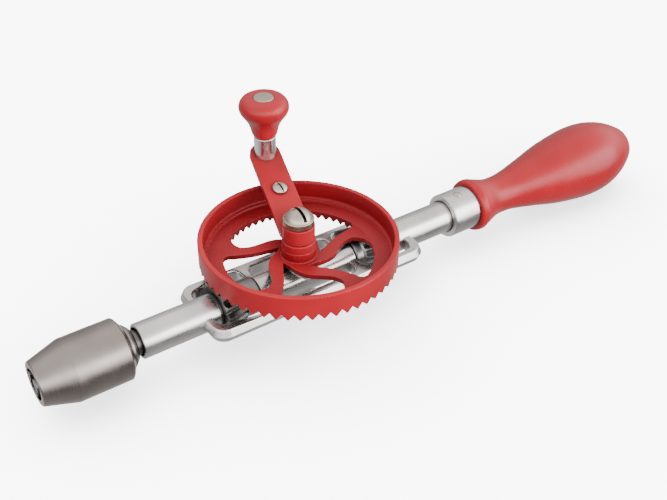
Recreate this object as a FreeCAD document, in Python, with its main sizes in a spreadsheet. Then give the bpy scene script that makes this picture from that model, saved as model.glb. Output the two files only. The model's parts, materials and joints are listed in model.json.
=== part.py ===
"""Hand drill with a crown gear wheel, two bevel pinions and a three-jaw chuck.

The spindle lies along X: the chuck is at the low end and the handle at the high end.
The gear wheel turns about a vertical axle (Z) that crosses the spindle line.
The origin is on the spindle line, at the front ends of the jaws.
All sizes are in millimetres and all angles in degrees.
"""
import FreeCAD, Part
import math
import os
import re

import Sketcher
from FreeCAD import Placement, Rotation, Vector

DRIVING_SIZES = {
    # frame casting
    "tube_radius": 7.07, "tube_front": 40.2, "tube_boss_end": 72.3, "mouth_radius": 5.9,
    "mouth_end": 43.2, "seat_radius": 5.5, "seat_length": 9.0, "tube_bore": 4.7,
    "loop_front": 64.4, "loop_rear": 165.5, "loop_half_width": 17.4, "loop_corner": 6.4,
    "loop_half_height": 2.9, "window_half_width": 13.2, "window_corner": 3.6,
    "outer_rounding": 0.7, "casting_draft": 24.0, "window_rounding": 0.9, "front_window": 68.5,
    "front_window_narrow": 12.0, "front_window_wide": 14.6, "rear_window": 160.8,
    "front_bridge": 21.0, "front_bridge_inner": 16.9, "rear_bridge": 24.0,
    "rear_bridge_inner": 20.4,
    "rear_boss": 157.6, "rear_tube_end": 198.0, "tang_radius": 4.0, "tang_end": 262.0,
    "post_radius": 6.6, "post_top": 8.4, "post_bottom": 8.6,
    # gear train: heights and radii are those at the wheel's outer wall
    "wheel_centre": 112.0, "wheel_radius": 40.0, "wheel_teeth": 55, "pinion_teeth": 15,
    "wheel_turn": -1.37, "pitch_height": 10.91, "tip_height": 10.23, "root_height": 12.5,
    "tip_land": 0.4, "root_land": 0.3, "pinion_tip": 12.05, "pinion_root": 9.95,
    "backlash": 0.3, "pinion_outer": 38.6, "pinion_inner": 29.4, "pinion_hub": 7.5,
    "drive_hub_end": 21.4, "idler_hub_end": 24.4, "back_hub": 6.0, "back_hub_end": 42.6,
    # gear wheel
    "rim_top": 20.7, "rim_wall": 2.2, "ring_inner": 30.4, "web_top": 11.3, "web_bottom": 9.3,
    "ledge_radius": 36.6, "ledge_height": 12.9, "ledge_drop": 0.7, "wheel_hub": 6.8,
    "hub_foot": 7.0, "hub_seam": 15.3, "hub_top": 18.9, "spokes": 5, "first_spoke": 2.4,
    # axle and crank
    "axle_radius": 3.5, "running_gap": 0.06, "axle_end": 5.6, "head_radius": 6.2,
    "head_seat": 26.0, "head_band": 2.7, "dome_radius": 5.6, "dome_height": 3.9,
    "slot_width": 1.4, "slot_depth": 3.4, "crank_hub": 6.5, "crank_top": 25.9,
    "crank_bottom": 19.0, "arm_width": 13.2, "arm_thick": 3.0, "arm_plane": 20.0,
    "arm_tilt": 15.6, "arm_direction": 75.0, "crank_radius": 45.0, "spare_hole": 24.6,
    "spare_radius": 2.0, "spare_head": 3.05, "spare_band": 1.1, "spare_dome": 1.2,
    "lug_radius": 0.9, "lug_place": 5.15,
    # knob
    "pin_radius": 2.4, "sleeve_radius": 4.65, "sleeve_height": 8.5, "knob_height": 26.2,
    "knob_belly": 10.5, "knob_neck": 4.6, "cap_radius": 4.3, "cap_thick": 0.9,
    # spindle
    "spindle_radius": 4.0, "neck_radius": 4.9, "neck_end": 42.0, "journal_end": 101.8,
    "ball_radius": 2.4, "idler_pin": 3.0, "cross_pin": 1.25,
    # chuck
    "nose": 0.5, "nose_radius": 8.6, "nose_opening": 6.2, "cone_end": 13.0,
    "shell_radius": 12.3, "shell_bore": 10.9, "shell_back": 33.5, "shell_rear": 35.4,
    "lip_bore": 8.6, "collar_radius": 8.5, "chuck_rear": 38.0, "bit_bore": 3.3,
    "jaw_radius": 2.8, "jaw_length": 17.0, "jaw_tilt": 12.0, "jaw_offset": 2.4,
    "grip_radius": 2.0, "jaw_side_gap": 1.2, "jaw_turn": 60.0, "jaw_bore_end": 24.5,
    "spindle_seat": 24.5, "body_front": 3.0, "nut_front": 6.5, "nut_rear": 10.5,
    # ferrule and handle
    "ferrule_front": 188.4, "ferrule_rear": 202.6, "ferrule_radius": 9.8, "tenon_radius": 8.85,
    "rivet_radius": 1.9, "rivet_place": 195.2, "rivet_turn": 5.0, "bead_radius": 11.9,
    "grip_neck": 8.65, "grip_belly": 17.5, "handle_end": 306.4, "end_round": 12.8,
}

document = FreeCAD.newDocument("hand_drill")
sheet = document.addObject("Spreadsheet::Sheet", "Dims")
for line, (alias, value) in enumerate(DRIVING_SIZES.items(), start=1):
    sheet.set(f"A{line}", alias)
    sheet.set(f"B{line}", str(value))
    sheet.setAlias(f"B{line}", alias)
document.recompute()


# ---------------------------------------------------------------- formulas and sketches

def bound(formula):
    """The formula with every driving size written as a cell of the sheet."""
    def cell(word):
        return f"Dims.{word[0]}" if word[0] in DRIVING_SIZES else word[0]
    return re.sub(r"[a-z]\w*", cell, str(formula))


def size(formula):
    """The value of a formula in the driving sizes."""
    return float(sheet.evalExpression(bound(formula)))


def new_body(label):
    """An empty body that carries the sub-part's name."""
    body = document.addObject("PartDesign::Body", label)
    body.Label = label
    return body


def origin_feature(body, role):
    """One of the body's own base planes or axes."""
    return next(item for item in body.Origin.OriginFeatures if item.Role == role)


def new_sketch(body, plane, height=0):
    """A sketch on a base plane of the body, lifted off it by a formula."""
    sketch = body.newObject("Sketcher::SketchObject", body.Label + "_sketch")
    sketch.AttachmentSupport = (origin_feature(body, plane), [""])
    sketch.MapMode = "FlatFace"
    sketch.setExpression("AttachmentOffset.Base.z", bound(height))
    return sketch


def tilted_sketch(body, plane, turn_axis, tilt, base):
    """A sketch tilted off a base plane of the body, with its origin at three formulas."""
    sketch = new_sketch(body, plane, base[2])
    place = Vector(*(size(formula) for formula in base))
    sketch.AttachmentOffset = Placement(place, Rotation(turn_axis, size(tilt)))
    return sketch


def tie(sketch, kind, formula, *geometry):
    """Add one dimension and bind it to its formula."""
    number = sketch.addConstraint(Sketcher.Constraint(kind, *geometry, size(formula)))
    sketch.setExpression(f"Constraints[{number}]", bound(formula))


def arc_between(start, end, radius):
    """Arc from start to end, turning left when the radius is positive."""
    half = (end - start) * 0.5
    rise = math.sqrt(max(radius * radius - half.Length ** 2, 0.0))
    left = Vector(-half.y, half.x, 0).normalize()
    centre = start + half + left * math.copysign(rise, radius)
    first, last = (start, end) if radius > 0 else (end, start)
    angles = [math.atan2(point.y - centre.y, point.x - centre.x) for point in (first, last)]
    return Part.ArcOfCircle(Part.Circle(centre, Vector(0, 0, 1), abs(radius)), *angles)


def add_edge(sketch, start, end, shape):
    """Add one edge of an outline; shape is empty, an arc's radius or a list of points between."""
    if not shape:
        return sketch.addGeometry(Part.LineSegment(start, end)), 1, 2
    if isinstance(shape[0], list):
        middle = [Vector(size(x), size(y), 0) for x, y in shape[0]]
        curve = Part.BSplineCurve()
        curve.interpolate([start] + middle + [end])
        return sketch.addGeometry(curve), 1, 2
    radius = size(shape[0])
    edge = sketch.addGeometry(arc_between(start, end, radius))
    tie(sketch, "Radius", f"abs({shape[0]})", edge)
    return (edge, 1, 2) if radius > 0 else (edge, 2, 1)


def outline(sketch, points):
    """Closed outline through points; a third value shapes the edge to the next point."""
    places = [Vector(size(point[0]), size(point[1]), 0) for point in points]
    edges = []
    for place, following, point in zip(places, places[1:] + places[:1], points):
        edges.append(add_edge(sketch, place, following, point[2:]))
    for index, (edge, first, last) in enumerate(edges):
        following, following_first, _ = edges[(index + 1) % len(edges)]
        sketch.addConstraint(
            Sketcher.Constraint("Coincident", edge, last, following, following_first))
        tie(sketch, "DistanceX", points[index][0], -1, 1, edge, first)
        tie(sketch, "DistanceY", points[index][1], -1, 1, edge, first)


def ring(sketch, x, y, radius):
    """A full circle with its centre at x, y."""
    place = Vector(size(x), size(y), 0)
    edge = sketch.addGeometry(Part.Circle(place, Vector(0, 0, 1), size(radius)))
    tie(sketch, "Radius", radius, edge)
    tie(sketch, "DistanceX", x, -1, 1, edge, 3)
    tie(sketch, "DistanceY", y, -1, 1, edge, 3)


def rounded_box(low_x, high_x, half_width, corner):
    """Outline of a rectangle about the X axis with rounded corners, anticlockwise."""
    return [
        (f"{low_x}+{corner}", f"-({half_width})"), (f"{high_x}-{corner}", f"-({half_width})", corner),
        (high_x, f"-({half_width})+{corner}"), (high_x, f"{half_width}-{corner}", corner),
        (f"{high_x}-{corner}", half_width), (f"{low_x}+{corner}", half_width, corner),
        (low_x, f"{half_width}-{corner}"), (low_x, f"-({half_width})+{corner}", corner),
    ]


# ---------------------------------------------------------------- features

def check_change(body, before, adds):
    """Stop when a feature left the body's volume as it was, or changed it the wrong way."""
    document.recompute()
    change = body.Shape.Volume - before
    if (change > 0) != adds or abs(change) < 1e-3:
        raise ValueError(f"{body.Label}: {body.Tip.Label} changed the volume by {change:.3f}")


def volume_of(body):
    """The volume so far, zero for an empty body."""
    document.recompute()
    return 0.0 if body.Shape.isNull() else body.Shape.Volume


def revolve(body, outlines, axis, kind="Revolution"):
    """Turn closed outlines in the XZ plane about X (H_Axis) or Z (V_Axis)."""
    before = volume_of(body)
    sketch = new_sketch(body, "XZ_Plane")
    for points in outlines:
        outline(sketch, points)
    feature = body.newObject(f"PartDesign::{kind}", body.Label + "_turned")
    feature.Profile = sketch
    feature.ReferenceAxis = (sketch, [axis])
    feature.Angle = 360
    check_change(body, before, kind == "Revolution")
    return feature


def turned(label, outlines, axis="H_Axis"):
    """A body turned from closed outlines about the X axis or, with V_Axis, about Z."""
    body = new_body(label)
    revolve(body, outlines, axis)
    return body


def extrude(body, sketch, depth, kind="Pad", middle=False, reverse=False):
    """Pad a sketch along its normal, or pocket it against its normal, or the other way round."""
    before = volume_of(body)
    feature = body.newObject(f"PartDesign::{kind}", body.Label + "_" + kind.lower())
    feature.Profile = sketch
    feature.Length = size(depth)
    feature.setExpression("Length", bound(depth))
    feature.Midplane = middle
    feature.Reversed = reverse
    check_change(body, before, kind == "Pad")
    return feature


def polar_pattern(body, feature, axis, count):
    """Repeat a feature evenly round one of the body's base axes."""
    before = volume_of(body)
    pattern = body.newObject("PartDesign::PolarPattern", body.Label + "_pattern")
    pattern.Originals = [feature]
    pattern.Axis = (origin_feature(body, axis), [""])
    pattern.Angle = 360
    pattern.Occurrences = int(size(count))
    pattern.Refine = False
    body.Tip = pattern
    check_change(body, before, False)
    return pattern


def wedge_cut(body, sections):
    """Cut the straight-sided space between two sketches."""
    before = volume_of(body)
    loft = body.newObject("PartDesign::SubtractiveLoft", body.Label + "_space")
    loft.Profile = sections[0]
    loft.Sections = sections[1:]
    loft.Ruled = True
    loft.Refine = False
    check_change(body, before, False)
    return loft


def round_edges(body, radius, chosen):
    """Fillet every edge of the body that the test picks."""
    before = volume_of(body)
    picked = [f"Edge{number}" for number, edge in enumerate(body.Shape.Edges, start=1) if chosen(edge)]
    source = body.Tip
    fillet = body.newObject("PartDesign::Fillet", body.Label + "_rounding")
    fillet.Base = (source, picked)
    fillet.setExpression("Radius", bound(radius))
    check_change(body, before, False)


def solid_cylinder(name, radius, length, placement):
    """A cylinder along its own Z with its sizes bound to formulas."""
    cylinder = document.addObject("Part::Cylinder", name)
    cylinder.setExpression("Radius", bound(radius))
    cylinder.setExpression("Height", bound(length))
    cylinder.Placement = placement
    return cylinder


def at_wheel(turn=None):
    """Placement on the wheel's axle with an optional rotation."""
    return Placement(Vector(size("wheel_centre"), 0, 0), turn or Rotation())


X_AXIS = Vector(1, 0, 0)
Y_AXIS = Vector(0, 1, 0)
Z_AXIS = Vector(0, 0, 1)


# ---------------------------------------------------------------- frame

def front_window():
    """Outline of the window round the drive pinion, wider towards the wheel's axle."""
    corner = "window_corner"
    rear = "(wheel_centre-front_bridge)"
    front_centre = (f"front_window+{corner}", f"(front_window_narrow-{corner})")
    rear_centre = (f"{rear}-{corner}", f"(front_window_wide-{corner})")
    flare = f"atan(({rear_centre[1]}-{front_centre[1]})/({rear_centre[0]}-({front_centre[0]})))"
    back, out = f"{corner}*sin({flare})", f"{corner}*cos({flare})"
    front_x, rear_x = f"{front_centre[0]}-{back}", f"{rear_centre[0]}-{back}"
    front_y, rear_y = f"({front_centre[1]}+{out})", f"({rear_centre[1]}+{out})"
    return [
        (front_x, f"-{front_y}"), (rear_x, f"-{rear_y}", corner),
        (rear, f"-{rear_centre[1]}"), (rear, rear_centre[1], corner),
        (rear_x, rear_y), (front_x, front_y, corner),
        ("front_window", front_centre[1]), ("front_window", f"-{front_centre[1]}", corner),
    ]


def in_window(edge):
    """True for the edges that lie inside the loop's outer wall."""
    reach = size("loop_half_width-outer_rounding") - 0.1
    box = edge.BoundBox
    ends = size("front_window") - 0.1, size("rear_window") + 0.1
    return max(-box.YMin, box.YMax) < reach and box.XMin > ends[0] and box.XMax < ends[1]


def make_frame():
    """Cast frame: two tubes joined by a flat loop with three windows and a cross bridge."""
    body = new_body("frame_casting")
    plate = new_sketch(body, "XY_Plane")
    outline(plate, rounded_box("loop_front", "loop_rear", "loop_half_width", "loop_corner"))
    for below in (False, True):
        half = extrude(body, plate, "loop_half_height", reverse=below)
        half.setExpression("TaperAngle", bound("-casting_draft"))
    document.recompute()

    flat = 0.01
    round_edges(body, "outer_rounding", lambda edge: (
        edge.BoundBox.ZLength < flat and abs(edge.BoundBox.ZMin) > size("loop_half_height") / 2))

    windows = new_sketch(body, "XY_Plane", "loop_half_height")
    outline(windows, front_window())
    for low, high in (
            ("wheel_centre-front_bridge_inner", "wheel_centre+rear_bridge_inner"),
            ("wheel_centre+rear_bridge", "rear_window")):
        outline(windows, rounded_box(low, high, "window_half_width", "window_corner"))
    extrude(body, windows, "2*loop_half_height", "Pocket")
    round_edges(body, "window_rounding", lambda edge: edge.BoundBox.ZLength < flat and in_window(edge))

    mouth_bevel = 0.3
    front_tube = [
        ("tube_front", 0), ("tube_front", f"tube_radius-{mouth_bevel}"),
        (f"tube_front+{mouth_bevel}", "tube_radius"), ("tube_boss_end", "tube_radius"),
        ("tube_boss_end", 0)]
    bridge_bar = [
        ("wheel_centre-front_bridge", 0),
        ("wheel_centre-front_bridge", f"tube_radius-{mouth_bevel}"),
        (f"wheel_centre-front_bridge+{mouth_bevel}", "tube_radius"),
        (f"wheel_centre+rear_bridge-{mouth_bevel}", "tube_radius"),
        ("wheel_centre+rear_bridge", f"tube_radius-{mouth_bevel}"), ("wheel_centre+rear_bridge", 0)]
    rear_tube = [
        ("rear_boss", 0), ("rear_boss", "tube_radius"), ("rear_tube_end", "tube_radius"),
        ("rear_tube_end", "tang_radius"), ("tang_end-8", "tang_radius"), ("tang_end", 0.6),
        ("tang_end", 0)]
    revolve(body, [front_tube, bridge_bar, rear_tube], "H_Axis")

    post = new_sketch(body, "XY_Plane", "-post_bottom")
    ring(post, "wheel_centre", 0, "post_radius")
    extrude(body, post, "post_bottom+post_top")

    front_bore = [
        ("tube_front-1", 0), ("tube_front-1", "mouth_radius"), ("mouth_end", "mouth_radius"),
        ("mouth_end", "seat_radius"), ("mouth_end+seat_length", "seat_radius"),
        ("mouth_end+seat_length", "tube_bore"), ("tube_boss_end-seat_length", "tube_bore"),
        ("tube_boss_end-seat_length", "seat_radius"), ("tube_boss_end+1", "seat_radius"),
        ("tube_boss_end+1", 0)]
    journal_bore = [
        ("wheel_centre-front_bridge-1", 0),
        ("wheel_centre-front_bridge-1", "spindle_radius+running_gap"),
        ("journal_end+2*ball_radius+0.2", "spindle_radius+running_gap"),
        ("journal_end+2*ball_radius+0.2", 0)]
    idler_bore = [
        ("wheel_centre+6.5", 0), ("wheel_centre+6.5", "idler_pin+0.02"),
        ("wheel_centre+rear_bridge+1", "idler_pin+0.02"), ("wheel_centre+rear_bridge+1", 0)]
    idler_seat = [
        ("rear_boss-1", 0), ("rear_boss-1", "idler_pin+0.02"),
        ("rear_boss+6", "idler_pin+0.02"), ("rear_boss+6", 0)]
    revolve(body, [front_bore, journal_bore, idler_bore, idler_seat], "H_Axis", "Groove")

    axle_hole = new_sketch(body, "XY_Plane", "post_top")
    ring(axle_hole, "wheel_centre", 0, "axle_radius+0.02")
    extrude(body, axle_hole, "post_top+axle_end+0.4", "Pocket")
    return body


def make_bushes():
    """Two plain bearing sleeves pressed into the ends of the front tube."""
    fit_gap = 0.03
    for label, start in (("front_bush", "mouth_end"), ("rear_bush", "tube_boss_end-seat_length")):
        turned(label, [[
            (f"{start}+0.1", "spindle_radius+running_gap"), (f"{start}+0.1", f"seat_radius-{fit_gap}"),
            (f"{start}+seat_length-0.1", f"seat_radius-{fit_gap}"),
            (f"{start}+seat_length-0.1", "spindle_radius+running_gap")]])


# ---------------------------------------------------------------- gear train

PRESSURE_SLOPE = "(2*pi*wheel_radius/wheel_teeth-root_land-tip_land)/(2*(root_height-tip_height))"


def wheel_space(scale):
    """Section of one tooth space of the wheel, drawn on a plane at scale times the wheel radius."""
    pitch = "2*pi*wheel_radius/wheel_teeth"
    below_tip = "(tip_height-0.15)"
    opening = f"(({pitch}-tip_land)/2+0.1)"
    corners = [
        (f"-{opening}", below_tip), ("-root_land/2", "root_height"),
        ("root_land/2", "root_height"), (opening, below_tip)]
    return [(f"({x})*{scale}", f"({y})*{scale}") for x, y in corners]


def pinion_space(scale):
    """Section of one tooth space of a pinion: involute flanks to suit the wheel's straight ones."""
    pitch_radius = size("pitch_height")
    pressure = math.atan(size(PRESSURE_SLOPE))
    wheel_tooth = size(f"tip_land+2*(pitch_height-tip_height)*{PRESSURE_SLOPE}")
    half_space = (wheel_tooth + size("backlash")) / 2 / pitch_radius

    def involute(angle):
        return math.tan(angle) - angle

    def flank(radius):
        rolled = math.acos(min(1.0, pitch_radius * math.cos(pressure) / radius))
        angle = half_space - involute(pressure) + involute(rolled)
        return radius * math.sin(angle), radius * math.cos(angle)

    radii = [size("pinion_root"), pitch_radius, (pitch_radius + size("pinion_tip")) / 2,
             size("pinion_tip")]
    right = [flank(radius) for radius in radii]
    right.append((right[-1][0], right[-1][1] + 0.8))
    left = [(-x, y) for x, y in reversed(right)]
    return [(x * scale, y * scale) for x, y in left + right]


def toothed(body, axis, count, section, start):
    """Cut tooth spaces that all point at the crossing of the two axes."""
    sections = []
    for scale in (start, 1.03):
        sketch = new_sketch(body, "YZ_Plane", f"wheel_radius*{scale}")
        outline(sketch, section(scale))
        sections.append(sketch)
    polar_pattern(body, wedge_cut(body, sections), axis, count)


def polar(radius, angle):
    """Formulas of a point on the wheel's web at a radius and an angle."""
    return f"{radius}*cos({angle}+first_spoke)", f"{radius}*sin({angle}+first_spoke)"


def wheel_window():
    """Outline of the opening between two S-shaped spokes."""
    leading = [polar(11.4, -56), polar(14, -39.5), polar(17, -21), polar(21, -10)]
    large_corner = [polar(27.6, -12.5)]
    small_corner = [polar(29.3, -66)]
    trailing = [polar(22.8, -68), polar(18.3, -70.5), polar(12.3, -82)]
    return [
        (*polar(8.9, -80), leading), (*polar(24.5, -8.2), large_corner),
        (*polar("ring_inner", -24), "-ring_inner"), (*polar("ring_inner", -62.5), small_corner),
        (*polar(26.6, -67), trailing), (*polar(8.7, -97), "8.8")]


def make_wheel():
    """Gear wheel: hub, five curved spokes and a deep rim with bevel teeth on its lower edge."""
    section = [
        ("axle_radius+running_gap", "web_bottom-0.1"),
        ("hub_foot", "web_bottom-0.1"),
        ("hub_foot", "web_bottom"),
        ("ring_inner", "web_bottom"),
        ("ring_inner", "tip_height*ring_inner/wheel_radius"),
        ("wheel_radius", "tip_height"),
        ("wheel_radius", "rim_top-0.5", "0.5"),
        ("wheel_radius-0.5", "rim_top"),
        ("wheel_radius-rim_wall+0.5", "rim_top", "0.5"),
        ("wheel_radius-rim_wall", "rim_top-0.5"),
        ("wheel_radius-rim_wall", "ledge_height+1.2", "-1.2"),
        ("ledge_radius", "ledge_height"),
        ("ledge_radius-0.3", "ledge_height-ledge_drop"),
        ("ring_inner", "web_top"),
        ("hub_foot+0.5", "web_top", "-0.5"),
        ("hub_foot", "web_top+0.5"),
        ("hub_foot", "hub_seam-0.2"),
        ("wheel_hub+0.03", "hub_seam"),
        ("wheel_hub", "hub_top-0.4"),
        ("wheel_hub-0.4", "hub_top"),
        ("axle_radius+running_gap", "hub_top")]
    body = turned("gear_wheel", [section], "V_Axis")

    window = new_sketch(body, "XY_Plane", "web_top+2")
    outline(window, wheel_window())
    opening = extrude(body, window, "8", "Pocket")
    polar_pattern(body, opening, "Z_Axis", "spokes")

    lug_holes = new_sketch(body, "XY_Plane", "hub_top")
    for side in (1, -1):
        ring(lug_holes, f"{side}*lug_place*cos(arm_direction-wheel_turn)",
             f"{side}*lug_place*sin(arm_direction-wheel_turn)", "lug_radius+0.05")
    extrude(body, lug_holes, "2", "Pocket")

    toothed(body, "Z_Axis", "wheel_teeth", wheel_space, 0.745)
    body.Placement = at_wheel(Rotation(Z_AXIS, size("wheel_turn")))


def make_pinion(label, bore, hub_end, facing, back):
    """Bevel pinion on the spindle line; facing turns it to the front or the rear of the wheel."""
    cone = "pinion_tip/wheel_radius"
    section = [
        (hub_end, bore),
        (hub_end, "pinion_hub-0.5"),
        (f"{hub_end}+0.5", "pinion_hub"),
        ("pinion_inner-1.6", "pinion_hub"),
        ("pinion_inner", f"pinion_inner*{cone}"),
        ("pinion_outer-0.4", f"(pinion_outer-0.4)*{cone}"),
        ("pinion_outer", f"pinion_outer*{cone}-0.5"),
        *back, (back[-1][0] if back else "pinion_outer", bore)]
    body = turned(label, [section])
    toothed(body, "X_Axis", "pinion_teeth", pinion_space, 0.715)
    ratio = size("wheel_teeth/pinion_teeth")
    half_tooth = size("180/pinion_teeth")
    roll = -ratio * size("wheel_turn")
    if facing > 0:
        body.Placement = at_wheel(Rotation(X_AXIS, roll + half_tooth))
    else:
        body.Placement = at_wheel(Rotation(Z_AXIS, 180) * Rotation(X_AXIS, roll))
    return body


def spindle_roll():
    """Turn of the spindle about its line that brings the pinions' teeth into mesh."""
    return Placement(Vector(), Rotation(X_AXIS, size("wheel_turn*wheel_teeth/pinion_teeth")))


def cross_hole(body, place):
    """Hole through a body from side to side for the drive pinion's cross pin."""
    sketch = new_sketch(body, "XZ_Plane")
    ring(sketch, place, 0, "cross_pin+0.01")
    extrude(body, sketch, "4*pinion_hub", "Pocket", middle=True)


def make_pinions():
    """Drive pinion pinned to the spindle, and idler pinion running on its own pin."""
    drive = make_pinion("drive_pinion", "spindle_radius+0.01", "drive_hub_end", -1, [])
    cross_hole(drive, "drive_hub_end+2.6")
    pin_length = "2*(pinion_hub-0.15)"
    start = Vector(size("wheel_centre-drive_hub_end-2.6"), size(pin_length) / 2, 0)
    upright = Placement(start, Rotation(X_AXIS, 90))
    pin = solid_cylinder("drive_pinion_pin", "cross_pin", pin_length, spindle_roll() * upright)
    pin.Label = "drive_pinion_pin"
    make_pinion("idler_pinion", "idler_pin+running_gap", "idler_hub_end", 1, [
        ("pinion_outer", "back_hub"), ("back_hub_end-0.4", "back_hub"),
        ("back_hub_end", "back_hub-0.4")])


def washer(label, low, high, bore, outer):
    """A plain washer on the spindle line between two formulas."""
    turned(label, [[(low, bore), (low, outer), (high, outer), (high, bore)]])


def make_idler_fittings():
    """Fixed pin that carries the idler pinion, and the washers beside the pinions."""
    turned("idler_axle", [[
        ("wheel_centre+7", 0), ("wheel_centre+7", "idler_pin-0.4"), ("wheel_centre+7.4", "idler_pin"),
        ("rear_boss+5.2", "idler_pin"), ("rear_boss+5.6", "idler_pin-0.4"), ("rear_boss+5.6", 0)]])
    washer("idler_spacer", "wheel_centre+back_hub_end+0.15", "rear_boss-0.1", "idler_pin+running_gap",
           "back_hub-0.8")
    washer("thrust_washer", "tube_boss_end+0.1", "wheel_centre-pinion_outer-0.1",
           "spindle_radius+running_gap", "tube_radius-0.3")


def make_spindle():
    """Spindle from the chuck through the front tube to the bridge, and the ball at its end."""
    spindle = turned("spindle", [[
        ("spindle_seat+0.2", 0), ("spindle_seat+0.2", "spindle_radius-0.5"),
        ("spindle_seat+0.7", "spindle_radius"), ("chuck_rear", "spindle_radius"),
        ("chuck_rear", "neck_radius"), ("neck_end", "neck_radius"), ("neck_end", "spindle_radius"),
        ("journal_end-0.4", "spindle_radius"), ("journal_end", "spindle_radius-0.4"),
        ("journal_end", 0)]])
    cross_hole(spindle, "wheel_centre-drive_hub_end-2.6")
    spindle.Placement = spindle_roll()
    ball = document.addObject("Part::Sphere", "thrust_ball")
    ball.setExpression("Radius", bound("ball_radius"))
    ball.Placement = Placement(Vector(size("journal_end+ball_radius+0.1"), 0, 0), Rotation())


# ---------------------------------------------------------------- chuck

SHELL_TAPER = "(shell_bore-nose_opening)/(cone_end-0.6-nose)"


def inner_cone(place):
    """Radius of the shell's inner cone at a place on the spindle line."""
    return f"(nose_opening+({place}-nose)*{SHELL_TAPER})"


def make_shell():
    """Turned outer shell with a tapered nose and a rear lip, and the nut ring pressed into it."""
    turned("chuck_shell", [[
        ("nose", "nose_opening"), ("cone_end-0.6", "shell_bore"), ("shell_back-0.5", "shell_bore"),
        ("shell_back-0.5", "lip_bore"), ("shell_rear", "lip_bore"),
        ("shell_rear", "collar_radius+0.5"), ("shell_back+0.2", "shell_radius-0.4"),
        ("shell_back-0.3", "shell_radius"), ("cone_end+0.4", "shell_radius"),
        ("cone_end-0.4", "shell_radius-0.12"), ("nose+0.4", "nose_radius+0.12"),
        ("nose", "nose_radius-0.25")]])
    fit_gap = 0.03
    turned("chuck_nut", [[
        ("nut_front", "6.72"), ("nut_front", f"{inner_cone('nut_front')}-{fit_gap}"),
        ("nut_rear", f"{inner_cone('nut_rear')}-{fit_gap}"), ("nut_rear", "7.6")]])


def make_chuck_body():
    """Inner body of the chuck with its bit bore, spindle bore and three inclined jaw bores."""
    clear = 0.35
    body = turned("chuck_body", [[
        ("body_front", "bit_bore"), ("body_front", "6.7"), ("nut_front-0.2", "7.85"),
        ("nut_front-0.2", "5.3"), ("nut_rear+0.2", "5.3"), ("nut_rear+0.2", "9.75"),
        ("cone_end-0.4", f"shell_bore-{clear}"), ("shell_back-0.9", f"shell_bore-{clear}"),
        ("shell_back-0.9", "collar_radius"), ("chuck_rear-1.8", "collar_radius"),
        ("chuck_rear", "collar_radius-1.9"), ("chuck_rear", "spindle_radius+0.02"),
        ("spindle_seat", "spindle_radius+0.02"), ("spindle_seat", "bit_bore")]])
    guide = jaw_sketch(body, "jaw_bore_end", "jaw_radius+0.06")
    bore = extrude(body, guide, "jaw_bore_end+4", "Pocket")
    polar_pattern(body, bore, "X_Axis", "3")
    body.Placement = Placement(Vector(), Rotation(X_AXIS, size("jaw_turn")))


def jaw_sketch(body, along, radius):
    """Circle square to a jaw's inclined axis at a distance along it from the nose plane."""
    base = (0, f"jaw_offset+({along})*sin(jaw_tilt)", f"({along})*cos(jaw_tilt)")
    sketch = tilted_sketch(body, "YZ_Plane", X_AXIS, "-jaw_tilt", base)
    ring(sketch, 0, 0, radius)
    return sketch


def make_jaws():
    """Three inclined round jaws, each with a gripping edge parallel to the spindle line."""
    apex = "jaw_side_gap/sin(60)"
    reach = "12"
    for number in range(3):
        body = new_body(f"jaw_{number + 1}")
        extrude(body, jaw_sketch(body, "-4", "jaw_radius"), "jaw_length+4")
        nose_cut = new_sketch(body, "YZ_Plane")
        ring(nose_cut, 0, 0, reach)
        extrude(body, nose_cut, "8", "Pocket")
        sides = new_sketch(body, "YZ_Plane", "jaw_length+2")
        outline(sides, [
            (0, apex), (f"-({reach})", f"{apex}+{reach}/tan(60)"), (f"-({reach})", "-8"),
            (reach, "-8"), (reach, f"{apex}+{reach}/tan(60)")])
        extrude(body, sides, "jaw_length+4", "Pocket")
        grip = new_sketch(body, "YZ_Plane", "jaw_length+2")
        ring(grip, 0, 0, "grip_radius")
        extrude(body, grip, "jaw_length+4", "Pocket")
        body.Placement = Placement(Vector(), Rotation(X_AXIS, size("jaw_turn") + 120 * number))


# ---------------------------------------------------------------- axle, crank and knob

def dome(low, radius, height):
    """Two outline points that close a turned head with a dome on top."""
    curve = f"(({radius})^2+({height})^2)/(2*({height}))"
    return [(radius, low, curve), (0, f"{low}+{height}")]


def slot_across(body, top, depth, width):
    """Screwdriver slot along Y across the top of a head."""
    slot = new_sketch(body, "XY_Plane", top)
    half = f"{width}/2"
    outline(slot, [(f"-{half}", "-9"), (half, "-9"), (half, "9"), (f"-{half}", "9")])
    extrude(body, slot, depth, "Pocket")


def make_axle():
    """Slotted screw that is the wheel's axle, and the washer under the wheel's hub."""
    band_top = "head_seat+head_band"
    screw = turned("axle_screw", [[
        (0, "-axle_end"), ("axle_radius-0.5", "-axle_end"), ("axle_radius", "0.5-axle_end"),
        ("axle_radius", "head_seat"), ("head_radius-0.3", "head_seat"),
        ("head_radius", "head_seat+0.3"), ("head_radius", f"{band_top}-0.2"),
        ("head_radius-0.2", band_top), *dome(band_top, "dome_radius", "dome_height")]], "V_Axis")
    slot_across(screw, f"{band_top}+dome_height+0.1", "slot_depth", "slot_width")
    screw.Placement = at_wheel()
    ring_washer = turned("axle_washer", [[
        ("axle_radius+running_gap", "post_top+0.05"), ("post_radius-0.3", "post_top+0.05"),
        ("post_radius-0.3", "web_bottom-0.15"), ("axle_radius+running_gap", "web_bottom-0.15")]],
        "V_Axis")
    ring_washer.Placement = at_wheel()


def arm_sketch(body):
    """A sketch on the arm's sloping upper face."""
    return tilted_sketch(body, "XY_Plane", Y_AXIS, "-arm_tilt", (0, 0, "arm_plane"))


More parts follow.
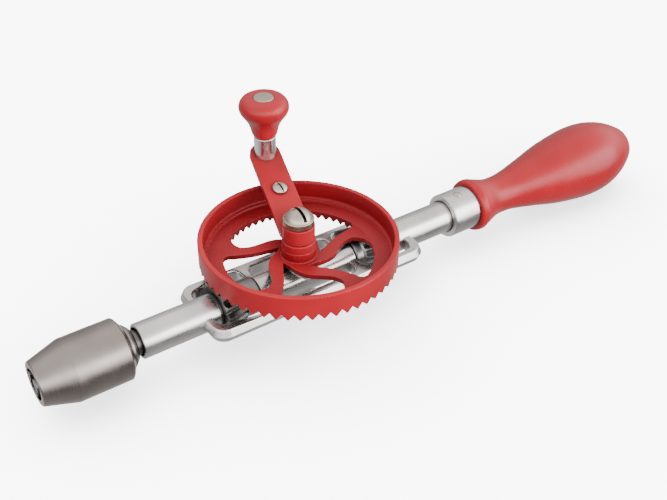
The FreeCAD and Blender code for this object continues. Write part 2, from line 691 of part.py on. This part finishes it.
def make_crank():
    """Crank: a hub keyed to the wheel by two lugs and a flat arm that rises outwards."""
    body = new_body("crank_arm")
    half = "arm_width/2"
    reach = "crank_radius/cos(arm_tilt)"
    bar = arm_sketch(body)
    outline(bar, [
        (0, f"-{half}"), (reach, f"-{half}", half), (f"{reach}+{half}", 0, half), (reach, half),
        (0, half, half), (f"-{half}", 0, half)])
    extrude(body, bar, "arm_thick", reverse=True)
    round_edges(body, "0.5", lambda edge: edge.Length > size("arm_thick") + 0.1)

    under_hub = new_sketch(body, "XY_Plane", "crank_bottom")
    ring(under_hub, 0, 0, "wheel_hub+0.7")
    extrude(body, under_hub, "8", "Pocket")
    revolve(body, [[
        (0, "crank_bottom"), ("crank_hub-0.3", "crank_bottom"), ("crank_hub", "crank_bottom+0.3"),
        ("crank_hub", "crank_top-0.5", "0.5"), ("crank_hub-0.5", "crank_top"), (0, "crank_top")]],
        "V_Axis")
    lugs = new_sketch(body, "XY_Plane", "crank_bottom-1.8")
    for side in (1, -1):
        ring(lugs, f"{side}*lug_place", 0, "lug_radius")
    extrude(body, lugs, "2.2")

    axle_bore = new_sketch(body, "XY_Plane", "crank_top+1")
    ring(axle_bore, 0, 0, "axle_radius+running_gap")
    extrude(body, axle_bore, "crank_top-crank_bottom+8", "Pocket")
    pin_hole = new_sketch(body, "XY_Plane", "crank_top+8")
    ring(pin_hole, "crank_radius", 0, "pin_radius+0.02")
    extrude(body, pin_hole, "20", "Pocket")
    screw_hole = arm_sketch(body)
    ring(screw_hole, "spare_hole/cos(arm_tilt)", 0, "spare_radius+0.03")
    extrude(body, screw_hole, "2*arm_thick+1", "Pocket", middle=True)
    body.Placement = at_wheel(Rotation(Z_AXIS, size("arm_direction")))

    screw = turned("arm_screw", [[
        (0, "-arm_thick-0.3"), ("spare_radius-0.3", "-arm_thick-0.3"), ("spare_radius", "-arm_thick"),
        ("spare_radius", "0.02"), ("spare_head", "0.02"), ("spare_head", "spare_band-0.1"),
        *dome("spare_band", "spare_head-0.1", "spare_dome")]], "V_Axis")
    slot_across(screw, "spare_band+spare_dome+0.1", "spare_dome+0.2", "0.8")
    slope = Rotation(Z_AXIS, size("arm_direction")) * Rotation(Y_AXIS, -size("arm_tilt"))
    seat = slope.multVec(Vector(size("spare_hole/cos(arm_tilt)"), 0, 0))
    centre = Vector(size("wheel_centre"), 0, size("arm_plane"))
    level = Rotation(Z_AXIS, -size("arm_direction"))
    screw.Placement = Placement(centre + seat, slope * level)


def knob_place():
    """Placement on the knob's axis, level with the arm's upper face there."""
    angle = size("arm_direction")
    out = Rotation(Z_AXIS, angle).multVec(Vector(size("crank_radius"), 0, 0))
    height = size("arm_plane+crank_radius*tan(arm_tilt)")
    return Placement(Vector(size("wheel_centre"), 0, height) + out, Rotation(Z_AXIS, angle))


def make_knob():
    """Knob turning on a riveted pin, above a plain sleeve that stands on the arm."""
    sleeve = turned("knob_sleeve", [[
        ("pin_radius+0.03", "-2"), ("sleeve_radius", "-2"), ("sleeve_radius", "sleeve_height-0.3"),
        ("sleeve_radius-0.3", "sleeve_height"), ("pin_radius+0.03", "sleeve_height")]], "V_Axis")
    foot = tilted_sketch(sleeve, "XY_Plane", Y_AXIS, "-arm_tilt", (0, 0, "0.05"))
    ring(foot, 0, 0, "9")
    extrude(sleeve, foot, "9", "Pocket")
    sleeve.Placement = knob_place()

    cap_seat = "knob_height-cap_thick+0.05"
    pin = turned("knob_pin", [[
        (0, "-arm_thick-1.9"), ("pin_radius", "-arm_thick-1.9"), ("pin_radius", cap_seat),
        ("cap_radius-0.2", cap_seat), ("cap_radius", f"{cap_seat}+0.2"),
        ("cap_radius", "knob_height-0.1"), ("cap_radius-0.3", "knob_height+0.15"),
        (0, "knob_height+0.35")]], "V_Axis")
    peen = tilted_sketch(pin, "XY_Plane", Y_AXIS, "-arm_tilt", (0, 0, "-arm_thick/cos(arm_tilt)-0.9"))
    ring(peen, 0, 0, "pin_radius+1.1")
    extrude(pin, peen, "0.85")
    pin.Placement = knob_place()

    base = "sleeve_height+0.1"
    swell = [
        ("knob_neck+0.75", "knob_height-16.2"), ("knob_neck+1.4", "knob_height-13.7"),
        ("knob_neck+2.3", "knob_height-11.2"), ("knob_neck+3.8", "knob_height-8.7"),
        ("knob_belly-0.45", "knob_height-6.2"), ("knob_belly", "knob_height-4"),
        ("knob_belly-1.15", "knob_height-1.3")]
    knob = turned("knob", [[
        ("pin_radius+running_gap", base), ("knob_neck", base, swell),
        ("knob_belly-4", "knob_height"), ("cap_radius+0.15", "knob_height"),
        ("cap_radius+0.15", "knob_height-cap_thick"),
        ("pin_radius+running_gap", "knob_height-cap_thick")]], "V_Axis")
    knob.Placement = knob_place()


# ---------------------------------------------------------------- ferrule and handle

def rivet_hole(body, radius, depth):
    """Radial hole for the ferrule's rivet."""
    hole = new_sketch(body, "XY_Plane", "ferrule_radius+1")
    ring(hole, "rivet_place", 0, radius)
    extrude(body, hole, depth, "Pocket")
    body.Placement = Placement(Vector(), Rotation(X_AXIS, size("rivet_turn")))


def make_handle():
    """Turned handle on the frame's tang, with a riveted ferrule over its front end."""
    ferrule = turned("ferrule", [[
        ("ferrule_front", "tube_radius+0.25"), ("ferrule_front+1.6", "tube_radius+0.25"),
        ("ferrule_front+1.6", "tenon_radius+0.05"), ("ferrule_rear", "tenon_radius+0.05"),
        ("ferrule_rear", "ferrule_radius"), ("ferrule_front+0.8", "ferrule_radius", "0.8"),
        ("ferrule_front", "ferrule_radius-0.8")]])
    rivet_hole(ferrule, "rivet_radius+0.02", "3")

    rivet = turned("ferrule_pin", [[
        (0, "tube_radius+0.4"), ("rivet_radius", "tube_radius+0.4"),
        *dome("ferrule_radius", "rivet_radius", "0.7")]], "V_Axis")
    turn = Rotation(X_AXIS, size("rivet_turn"))
    rivet.Placement = Placement(Vector(size("rivet_place"), 0, 0), turn)

    flare = [
        (209.6, "bead_radius-1.1"), (213, 9.65), (217, "grip_neck+0.15"), (220.5, "grip_neck"),
        (226, 9.0), (232, 10.1), (242, 12.3), (252, 14.7), (262, 16.4),
        (272, "grip_belly"), (280, "grip_belly-0.05"), (288, 16.05), (293.5, 14.2),
        (298.5, 11.75)]
    round_start = "(handle_end-4.4)"
    round_radius = f"sqrt(end_round^2-({round_start}-handle_end+end_round)^2)"
    grip_start = "ferrule_rear+0.1"
    handle = turned("handle", [[
        ("ferrule_front+1.8", "tenon_radius"), ("ferrule_front+1.8", "tube_radius+0.05"),
        ("rear_tube_end+0.2", "tube_radius+0.05"), ("rear_tube_end+0.2", "tang_radius+0.05"),
        ("tang_end+0.4", "tang_radius+0.05"), ("tang_end+0.4", 0),
        ("handle_end", 0, "end_round"), (round_start, round_radius, flare[::-1]),
        ("ferrule_rear+4.9", "bead_radius-0.5", "3.2"), ("ferrule_rear+2", "bead_radius", "1.9"),
        (grip_start, "bead_radius-1.9"), (grip_start, "tenon_radius")]])
    rivet_hole(handle, "rivet_radius+0.02", "3.55")


# ---------------------------------------------------------------- build and write

def write_parts():
    """Check every object and write one STEP file for each sub-part."""
    document.recompute()
    for item in document.Objects:
        if {"Invalid", "Error"} & set(item.State):
            raise ValueError(f"{item.Label} did not recompute: {item.State}")
    os.makedirs("parts", exist_ok=True)
    kinds = ("PartDesign::Body", "Part::Cylinder", "Part::Sphere")
    parts = [item for item in document.Objects if item.TypeId in kinds]
    for item in parts:
        shape = item.Shape
        if shape.isNull() or not shape.isValid() or len(shape.Solids) != 1:
            raise ValueError(f"{item.Label}: not one valid solid")
        shape.exportStep(f"parts/{item.Label}.step")
        print(f"{item.Label}: {shape.Volume:.1f} mm3")


for make in (make_frame, make_bushes, make_wheel, make_pinions, make_idler_fittings, make_spindle,
             make_shell, make_chuck_body, make_jaws, make_axle, make_crank, make_knob, make_handle):
    make()
write_parts()
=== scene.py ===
import json
import math

import bmesh
import bpy
from mathutils import Matrix, Vector


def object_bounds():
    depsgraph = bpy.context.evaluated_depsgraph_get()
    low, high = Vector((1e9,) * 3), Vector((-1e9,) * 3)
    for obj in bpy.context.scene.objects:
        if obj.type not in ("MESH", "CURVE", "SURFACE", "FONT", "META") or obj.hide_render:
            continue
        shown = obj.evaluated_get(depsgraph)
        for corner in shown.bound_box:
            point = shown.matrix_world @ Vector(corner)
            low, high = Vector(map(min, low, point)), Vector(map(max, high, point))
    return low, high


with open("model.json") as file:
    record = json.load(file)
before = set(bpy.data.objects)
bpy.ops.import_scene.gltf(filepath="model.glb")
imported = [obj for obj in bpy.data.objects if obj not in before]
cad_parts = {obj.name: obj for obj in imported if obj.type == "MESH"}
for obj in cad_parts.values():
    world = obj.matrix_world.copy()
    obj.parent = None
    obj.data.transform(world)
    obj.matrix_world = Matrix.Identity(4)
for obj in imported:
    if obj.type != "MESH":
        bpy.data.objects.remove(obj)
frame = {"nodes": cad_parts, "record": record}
cad_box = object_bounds()

MM = 0.001


# ---------------------------------------------------------------- camera

CAMERA_PLACE = (-49.63, -249.76, 234.63)    # millimetres
CAMERA_ANGLES = (54.42, 36.69, 1.08)        # azimuth, dip and roll in degrees
CAMERA_LENS, CAMERA_SENSOR = 50, 36         # millimetres


def make_camera():
    """A camera above and beside the chuck that looks down across the drill, tilted very slightly."""
    azimuth, dip, roll = (math.radians(angle) for angle in CAMERA_ANGLES)
    forward = Vector((math.cos(azimuth) * math.cos(dip), math.sin(azimuth) * math.cos(dip),
                      -math.sin(dip)))
    right = Vector((math.sin(azimuth), -math.cos(azimuth), 0))
    up = right.cross(forward)
    side = right * math.cos(roll) + up * math.sin(roll)
    top = up * math.cos(roll) - right * math.sin(roll)
    data = bpy.data.cameras.new("camera")
    data.lens = CAMERA_LENS
    data.sensor_width = CAMERA_SENSOR
    data.clip_start = 10 * MM
    camera = bpy.data.objects.new("camera", data)
    bpy.context.scene.collection.objects.link(camera)
    place = Matrix((side, top, -forward)).transposed().to_4x4()
    place.translation = Vector(CAMERA_PLACE) * MM
    camera.matrix_world = place
    bpy.context.scene.camera = camera


# ---------------------------------------------------------------- shader nodes

BEVEL_SAMPLES = 6
OPENNESS_SAMPLES = 6
EDGE_MATCH = (0.98, 0.78)       # how well the rounded and the flat normals agree off and on an edge


class Graph:
    """Short helpers that add nodes to a shader tree."""

    def __init__(self, tree):
        self.tree = tree

    def node(self, kind, inputs, **settings):
        """A node with settings, and inputs given as values or as other nodes' outputs."""
        made = self.tree.nodes.new(kind)
        for name, value in settings.items():
            setattr(made, name, value)
        for name, value in inputs.items():
            if isinstance(value, bpy.types.NodeSocket):
                self.tree.links.new(value, made.inputs[name])
            else:
                made.inputs[name].default_value = value
        return made

    def math(self, operation, first, second):
        """One arithmetic step."""
        return self.node("ShaderNodeMath", {0: first, 1: second}, operation=operation).outputs[0]

    def vector(self, operation, first, second):
        """One step of vector arithmetic."""
        made = self.node("ShaderNodeVectorMath", {0: first, 1: second}, operation=operation)
        return made.outputs[0]

    def dot(self, first, second):
        """The dot product of two vectors."""
        made = self.node("ShaderNodeVectorMath", {0: first, 1: second}, operation="DOT_PRODUCT")
        return made.outputs["Value"]

    def split(self, vector):
        """The X, Y and Z of a vector."""
        return self.node("ShaderNodeSeparateXYZ", {0: vector}).outputs

    def ramp(self, value, low, high, start=0.0, end=1.0):
        """Map a value from one range to another, clamped."""
        inputs = {"Value": value, "From Min": low, "From Max": high, "To Min": start, "To Max": end}
        return self.node("ShaderNodeMapRange", inputs).outputs[0]

    def blend(self, factor, first, second):
        """Mix of two colours by a factor."""
        made = self.node("ShaderNodeMix", {0: factor, 6: first, 7: second}, data_type="RGBA")
        return made.outputs[2]


class Finish(Graph):
    """A procedural material under construction, with its main shader."""

    def __init__(self, name):
        self.material = bpy.data.materials.new(name)
        self.material.use_nodes = True
        super().__init__(self.material.node_tree)
        self.tree.nodes.clear()
        self.shader = self.node("ShaderNodeBsdfPrincipled", {})
        self.node("ShaderNodeOutputMaterial", {0: self.shader.outputs[0]})
        self.place = self.node("ShaderNodeTexCoord", {}).outputs["Object"]

    def set(self, **values):
        """Constant values on the main shader's sockets, with underscores for spaces."""
        for name, value in values.items():
            self.shader.inputs[name.replace("_", " ")].default_value = value

    def wire(self, **sockets):
        """Link outputs to the main shader's sockets, with underscores for spaces."""
        for name, value in sockets.items():
            self.tree.links.new(value, self.shader.inputs[name.replace("_", " ")])

    def noise(self, scale, detail, vector=None):
        """Noise between 0 and 1, with its scale in features per metre."""
        inputs = {"Vector": vector or self.place, "Scale": scale, "Detail": detail}
        return self.node("ShaderNodeTexNoise", inputs).outputs[0]

    def normal(self):
        """The surface's own direction."""
        return self.node("ShaderNodeNewGeometry", {}).outputs["Normal"]

    def soft_edge(self, radius):
        """Normal with sharp edges rounded off."""
        return self.node("ShaderNodeBevel", {"Radius": radius}, samples=BEVEL_SAMPLES).outputs[0]

    def edges(self, radius):
        """How close the surface is to a sharp edge, from 0 to about 1."""
        return self.ramp(self.dot(self.soft_edge(radius), self.normal()), *EDGE_MATCH)

    def openness(self, distance, low, high, samples=OPENNESS_SAMPLES):
        """How open the surface is: 0 deep in a corner and 1 in the clear."""
        found = self.node("ShaderNodeAmbientOcclusion", {"Distance": distance}, samples=samples)
        return self.ramp(found.outputs["AO"], low, high)

    def turned(self):
        """Coordinates made of the place along X and the distance from it, for lathe marks."""
        flat = self.vector("MULTIPLY", self.place, (0.0, 1.0, 1.0))
        radius = self.node("ShaderNodeVectorMath", {0: flat}, operation="LENGTH").outputs["Value"]
        along = self.split(self.place)["X"]
        return self.node("ShaderNodeCombineXYZ", {0: along, 1: radius}).outputs[0]

    def bump(self, height, strength, distance, base):
        """Bump from a height, on top of another normal."""
        inputs = {"Height": height, "Strength": strength, "Distance": distance, "Normal": base}
        return self.node("ShaderNodeBump", inputs).outputs[0]


def rgb(red, green, blue):
    """A colour with full alpha."""
    return (red, green, blue, 1.0)


def scaled(colour, share):
    """A colour made darker or brighter, with no part above 1."""
    return rgb(*(min(1.0, part * share) for part in colour[:3]))


# ---------------------------------------------------------------- materials

SLOW = (0.3, 0.7)               # the part of a noise's range that a gradual change uses

PAINT_DRIFT = 28                # noise scales of the paint, in features per metre
PAINT_BLOTCH = 240
PAINT_CHIPS = 420
PAINT_PEEL = 760
PAINT_DUST = 3200
PAINT_HAZE = 130
PAINT_BUMP = 0.05
PEEL_DEPTH = 0.35 * MM
DUST_DEPTH = 0.1 * MM
BLOTCHES = (0.62, 0.8)          # the parts of the noises that the blotches, chips and haze use
CHIPS = (0.35, 0.7)
HAZE = (0.3, 0.75)
BLOTCH_SHARE = 0.12
HAZE_ROUGHNESS = 0.12
EDGE_WEAR = 0.45                # wear on the edges where there is no chip
HOLLOW = (0.3, 1.0)             # openness from deep in a hollow to the clear
HOLLOW_SHADE_TONE = 0.35              # painted shade: how dark the paint is deep in a hollow
PAINT_GLINT = (1.0, 0.72, 0.72)
BARE_STEEL = (0.16, 0.15, 0.14)
BARE_FACING = (-0.2, -0.35)     # how far down a face looks where its paint ends
BARE_HEIGHT = 13 * MM           # the wheel's paint ends at this height on faces that look down
BARE_FADE = 0.4 * MM

METAL_DRIFT = 60                # noise scales of the metals, in features per metre
METAL_SMUDGE = 95
MARK_BUMP = 0.03
MARK_DEPTH = 0.05 * MM
MARK_ROUGHNESS = (-0.05, 0.07)  # how far the tool marks move the roughness down and up
SMUDGES = (0.45, 0.75)          # the part of the noise that the smudges use
SMUDGE_ROUGHNESS = 0.12
CORNER_REACH = 3.5 * MM
CORNER = (0.3, 0.8)             # openness from deep in a corner to the clear
CORNER_SHADE_TONE = 0.22              # painted shade: how dark the metal is deep in a corner
# Painted highlight on the metal's sharp edges: how much lighter, and how strongly it shows.
EDGE_HIGHLIGHT_TONE = 1.12
EDGE_HIGHLIGHT_SHARE = 0.35

LATHE_PITCH = 5200.0            # tool marks per metre
GEAR_PITCH = 3600.0


def red_paint(name, edge_radius, gloss, shine, hollow, bare=None):
    """Sprayed enamel: slow tone drift, orange peel, fine dust and thinner paint on the edges.

    It is deeper within a hollow's width of other surfaces, as painted shade, and bare where a mask
    says so."""
    deep, light, worn = rgb(0.20, 0.0055, 0.009), rgb(0.28, 0.008, 0.013), rgb(0.42, 0.035, 0.045)
    finish = Finish(name)
    colour = finish.blend(finish.ramp(finish.noise(PAINT_DRIFT, 2), *SLOW), deep, light)
    blotch = finish.ramp(finish.noise(PAINT_BLOTCH, 4), *BLOTCHES, 0.0, BLOTCH_SHARE)
    colour = finish.blend(blotch, colour, deep)
    chips = finish.ramp(finish.noise(PAINT_CHIPS, 3), *CHIPS)
    wear = finish.math("MULTIPLY", finish.edges(edge_radius), finish.math("ADD", chips, EDGE_WEAR))
    colour = finish.blend(wear, colour, worn)
    # Painted shade: the paint darkens where other surfaces are close.
    colour = finish.blend(finish.openness(hollow, *HOLLOW), scaled(deep, HOLLOW_SHADE_TONE), colour)
    finish.set(Specular_IOR_Level=shine, Specular_Tint=rgb(*PAINT_GLINT))
    if bare is not None:
        steel = bare(finish)
        colour = finish.blend(steel, colour, rgb(*BARE_STEEL))
        finish.wire(Metallic=steel)
    rough = finish.ramp(finish.noise(PAINT_HAZE, 4), *HAZE, gloss, gloss + HAZE_ROUGHNESS)
    smooth = finish.soft_edge(edge_radius)
    peel = finish.bump(finish.noise(PAINT_PEEL, 2), PAINT_BUMP, PEEL_DEPTH, smooth)
    dusty = finish.bump(finish.noise(PAINT_DUST, 2), PAINT_BUMP, DUST_DEPTH, peel)
    finish.wire(Base_Color=colour, Roughness=rough, Normal=dusty)
    return finish.material


def metal(name, dark, light, rough, marks, streak, edge_radius=0.3 * MM):
    """Bare or plated metal: tone drift, fine tool marks, smudges, painted edge highlights, painted
    corner shade.
    """
    finish = Finish(name)
    lines = finish.noise(1.0, 4, marks(finish))
    drift = finish.ramp(finish.noise(METAL_DRIFT, 3), *SLOW, 0.0, 1.0 - streak)
    tone = finish.math("ADD", finish.math("MULTIPLY", lines, streak), drift)
    colour = finish.blend(tone, dark, light)
    # Painted highlight: a lighter colour along the sharp edges.
    edge = finish.math("MULTIPLY", finish.edges(edge_radius), EDGE_HIGHLIGHT_SHARE)
    colour = finish.blend(edge, colour, scaled(light, EDGE_HIGHLIGHT_TONE))
    # Painted shade: the metal darkens where other surfaces are close.
    corner = finish.openness(CORNER_REACH, *CORNER)
    colour = finish.blend(corner, scaled(dark, CORNER_SHADE_TONE), colour)
    smudge = finish.ramp(finish.noise(METAL_SMUDGE, 5), *SMUDGES, 0.0, SMUDGE_ROUGHNESS)
    brushed = finish.ramp(lines, *SLOW, *(rough + change for change in MARK_ROUGHNESS))
    normal = finish.bump(lines, MARK_BUMP, MARK_DEPTH, finish.soft_edge(edge_radius))
    finish.set(Metallic=1.0)
    finish.wire(Base_Color=colour, Roughness=finish.math("ADD", brushed, smudge), Normal=normal)
    return finish.material


def lathe_marks(pitch=LATHE_PITCH):
    """Tool marks that run round the drill's length."""
    return lambda finish: finish.vector("MULTIPLY", finish.turned(), (pitch,) * 3)


def grain_marks(*scale):
    """Tool marks stretched along the axes with the smaller scales, in marks per metre."""
    return lambda finish: finish.vector("MULTIPLY", finish.place, scale)


def bare_underside(finish):
    """1 on the wheel's cut teeth and underside, where the steel is unpainted, else 0."""
    down = finish.ramp(finish.split(finish.normal())["Z"], *BARE_FACING)
    low = finish.ramp(finish.split(finish.place)["Z"], BARE_HEIGHT, BARE_HEIGHT - BARE_FADE)
    return finish.math("MULTIPLY", down, low)


def make_finishes():
    """Every material of the drill, by the slot that the record gives it."""
    return {
        "red_metal_paint": red_paint("red_enamel", edge_radius=0.5 * MM, gloss=0.32, shine=0.32,
                                     hollow=26 * MM, bare=bare_underside),
        "red_wood_paint": red_paint("red_lacquer", edge_radius=0.4 * MM, gloss=0.22, shine=0.42,
                                    hollow=6 * MM),
        "frame_nickel": metal("satin_nickel", rgb(0.56, 0.54, 0.53), rgb(0.76, 0.74, 0.73),
                              rough=0.22, marks=grain_marks(120, 1500, 1500), streak=0.15,
                              edge_radius=0.4 * MM),
        "bright_steel": metal("chrome", rgb(0.72, 0.72, 0.72), rgb(0.9, 0.9, 0.9), rough=0.15,
                              marks=grain_marks(2200, 2200, 120), streak=0.3),
        "chuck_steel": metal("brushed_chuck_steel", rgb(0.25, 0.215, 0.20), rgb(0.35, 0.31, 0.29),
                             rough=0.22, marks=lathe_marks(), streak=0.25),
        "gear_steel": metal("machined_steel", rgb(0.16, 0.155, 0.15), rgb(0.30, 0.29, 0.28),
                            rough=0.32, marks=lathe_marks(GEAR_PITCH), streak=0.4),
        "screw_steel": metal("warm_screw_steel", rgb(0.40, 0.34, 0.28), rgb(0.62, 0.54, 0.46),
                             rough=0.26, marks=grain_marks(1800, 260, 1800), streak=0.4),
        "bush_bronze": metal("bearing_bronze", rgb(0.42, 0.25, 0.11), rgb(0.66, 0.43, 0.2),
                             rough=0.3, marks=lathe_marks(), streak=0.4),
    }


def paint_nodes(finishes):
    """Give every CAD node the material of its slot in the record."""
    for entry in frame["record"]["subparts"]:
        data = frame["nodes"][entry["node"]].data
        data.materials.clear()
        data.materials.append(finishes[entry["material_slot"]])


# ---------------------------------------------------------------- stage

# The surround's level by height, from -1 straight down to 1 straight up.
SURROUND_FRONT = ((-1.0, 0.14), (-0.7, 0.10), (-0.22, 0.045), (0.12, 0.42), (0.30, 0.95),
                  (0.50, 0.95), (0.64, 0.55), (0.80, 0.40), (1.0, 0.36))
SURROUND_BACK = ((-1.0, 0.18), (-0.5, 0.22), (0.0, 0.12), (0.3, 0.20), (0.5, 0.24), (0.8, 0.38),
                 (1.0, 0.40))
SURROUND_TINT = (1.0, 0.985, 0.975)
SURROUND_POWER = 4.0
BACK_FROM, BACK_TO = -0.35, 0.55    # where along Y the front's levels give way to the back's
WINDOW_SIDE = (0.62, -0.75, 0.22)
WINDOW_EDGE, WINDOW_FULL = 0.86, 0.97
WINDOW_GLOW = 1.0

FLOOR_RADIUS = 12.0
FLOOR_CENTRE = (0.15, 0)
FLOOR_GLOW = 6.5
FLOOR_SHADE = 1.6
SHADOW_REACH = 0.14
SHADOW = (0.4, 1.0)             # openness from the darkest shadow to the clear
SHADOW_SAMPLES = 16

LIGHT_TARGET = (0.15, 0, 0)
LIGHT_TINT = (1.0, 0.99, 0.98)
SOFT_LIGHTS = (                     # name, place, size and power
    ("key", (-0.15, 0.75, 1.15), (1.3, 1.3), 20),
    ("front", (0.20, -1.15, 0.45), (1.2, 0.6), 26),
)


def make_light(name, place, size, power):
    """A soft rectangular light aimed at the drill, left out of reflections."""
    data = bpy.data.lights.new(name, "AREA")
    data.shape = "RECTANGLE"
    data.size, data.size_y = size
    data.energy = power
    data.color = LIGHT_TINT
    light = bpy.data.objects.new(name, data)
    bpy.context.scene.collection.objects.link(light)
    light.visible_glossy = False
    light.location = place
    aim = Vector(LIGHT_TARGET) - Vector(place)
    light.rotation_euler = aim.to_track_quat("-Z", "Y").to_euler()


def make_floor(height):
    """A wide pale floor with a soft glow that fades near the drill, as a gentle shadow."""
    mesh = bpy.data.meshes.new("floor")
    builder = bmesh.new()
    bmesh.ops.create_circle(builder, cap_ends=True, segments=64, radius=FLOOR_RADIUS)
    builder.to_mesh(mesh)
    builder.free()
    floor = bpy.data.objects.new("floor", mesh)
    floor.location = (*FLOOR_CENTRE, height)
    bpy.context.scene.collection.objects.link(floor)
    finish = Finish("pale_floor")
    clear = finish.openness(SHADOW_REACH, *SHADOW, samples=SHADOW_SAMPLES)
    tone = finish.blend(finish.noise(3, 2), rgb(0.87, 0.865, 0.88), rgb(0.90, 0.895, 0.91))
    tint = finish.blend(clear, rgb(0.95, 0.88, 1.0), rgb(1.0, 0.975, 1.0))
    glow = finish.ramp(clear, 0.0, 1.0, FLOOR_SHADE, FLOOR_GLOW)
    finish.wire(Base_Color=tone, Emission_Color=tint, Emission_Strength=glow)
    finish.set(Roughness=0.75, Specular_IOR_Level=0.15)
    mesh.materials.append(finish.material)
    floor.visible_glossy = False
    floor.visible_diffuse = False


def bands(graph, height, stops):
    """A colour that follows the height, from stops given as a height and a level."""
    made = graph.node("ShaderNodeValToRGB", {0: height})
    elements = made.color_ramp.elements
    for index, (position, level) in enumerate(stops):
        if index >= len(elements):
            elements.new(1.0)
        elements[index].position = (position + 1) / 2
        elements[index].color = scaled(SURROUND_TINT, level)
    return made.outputs[0]


def make_surround():
    """What the metal reflects: levels by height, front and back, and a window at one side."""
    world = bpy.data.worlds.new("surround")
    world.use_nodes = True
    graph = Graph(world.node_tree)
    towards = graph.node("ShaderNodeTexCoord", {}).outputs["Generated"]
    parts = graph.split(towards)
    height = graph.ramp(parts["Z"], -1.0, 1.0)
    front, back = (bands(graph, height, stops) for stops in (SURROUND_FRONT, SURROUND_BACK))
    both = graph.blend(graph.ramp(parts["Y"], BACK_FROM, BACK_TO), front, back)
    facing = graph.dot(towards, Vector(WINDOW_SIDE).normalized())
    window = graph.ramp(facing, WINDOW_EDGE, WINDOW_FULL, 0.0, WINDOW_GLOW)
    background = world.node_tree.nodes["Background"]
    world.node_tree.links.new(graph.vector("ADD", both, window), background.inputs["Color"])
    background.inputs["Strength"].default_value = SURROUND_POWER
    bpy.context.scene.world = world


make_camera()
paint_nodes(make_finishes())
make_floor(cad_box[0][2])
make_surround()
for soft_light in SOFT_LIGHTS:
    make_light(*soft_light)
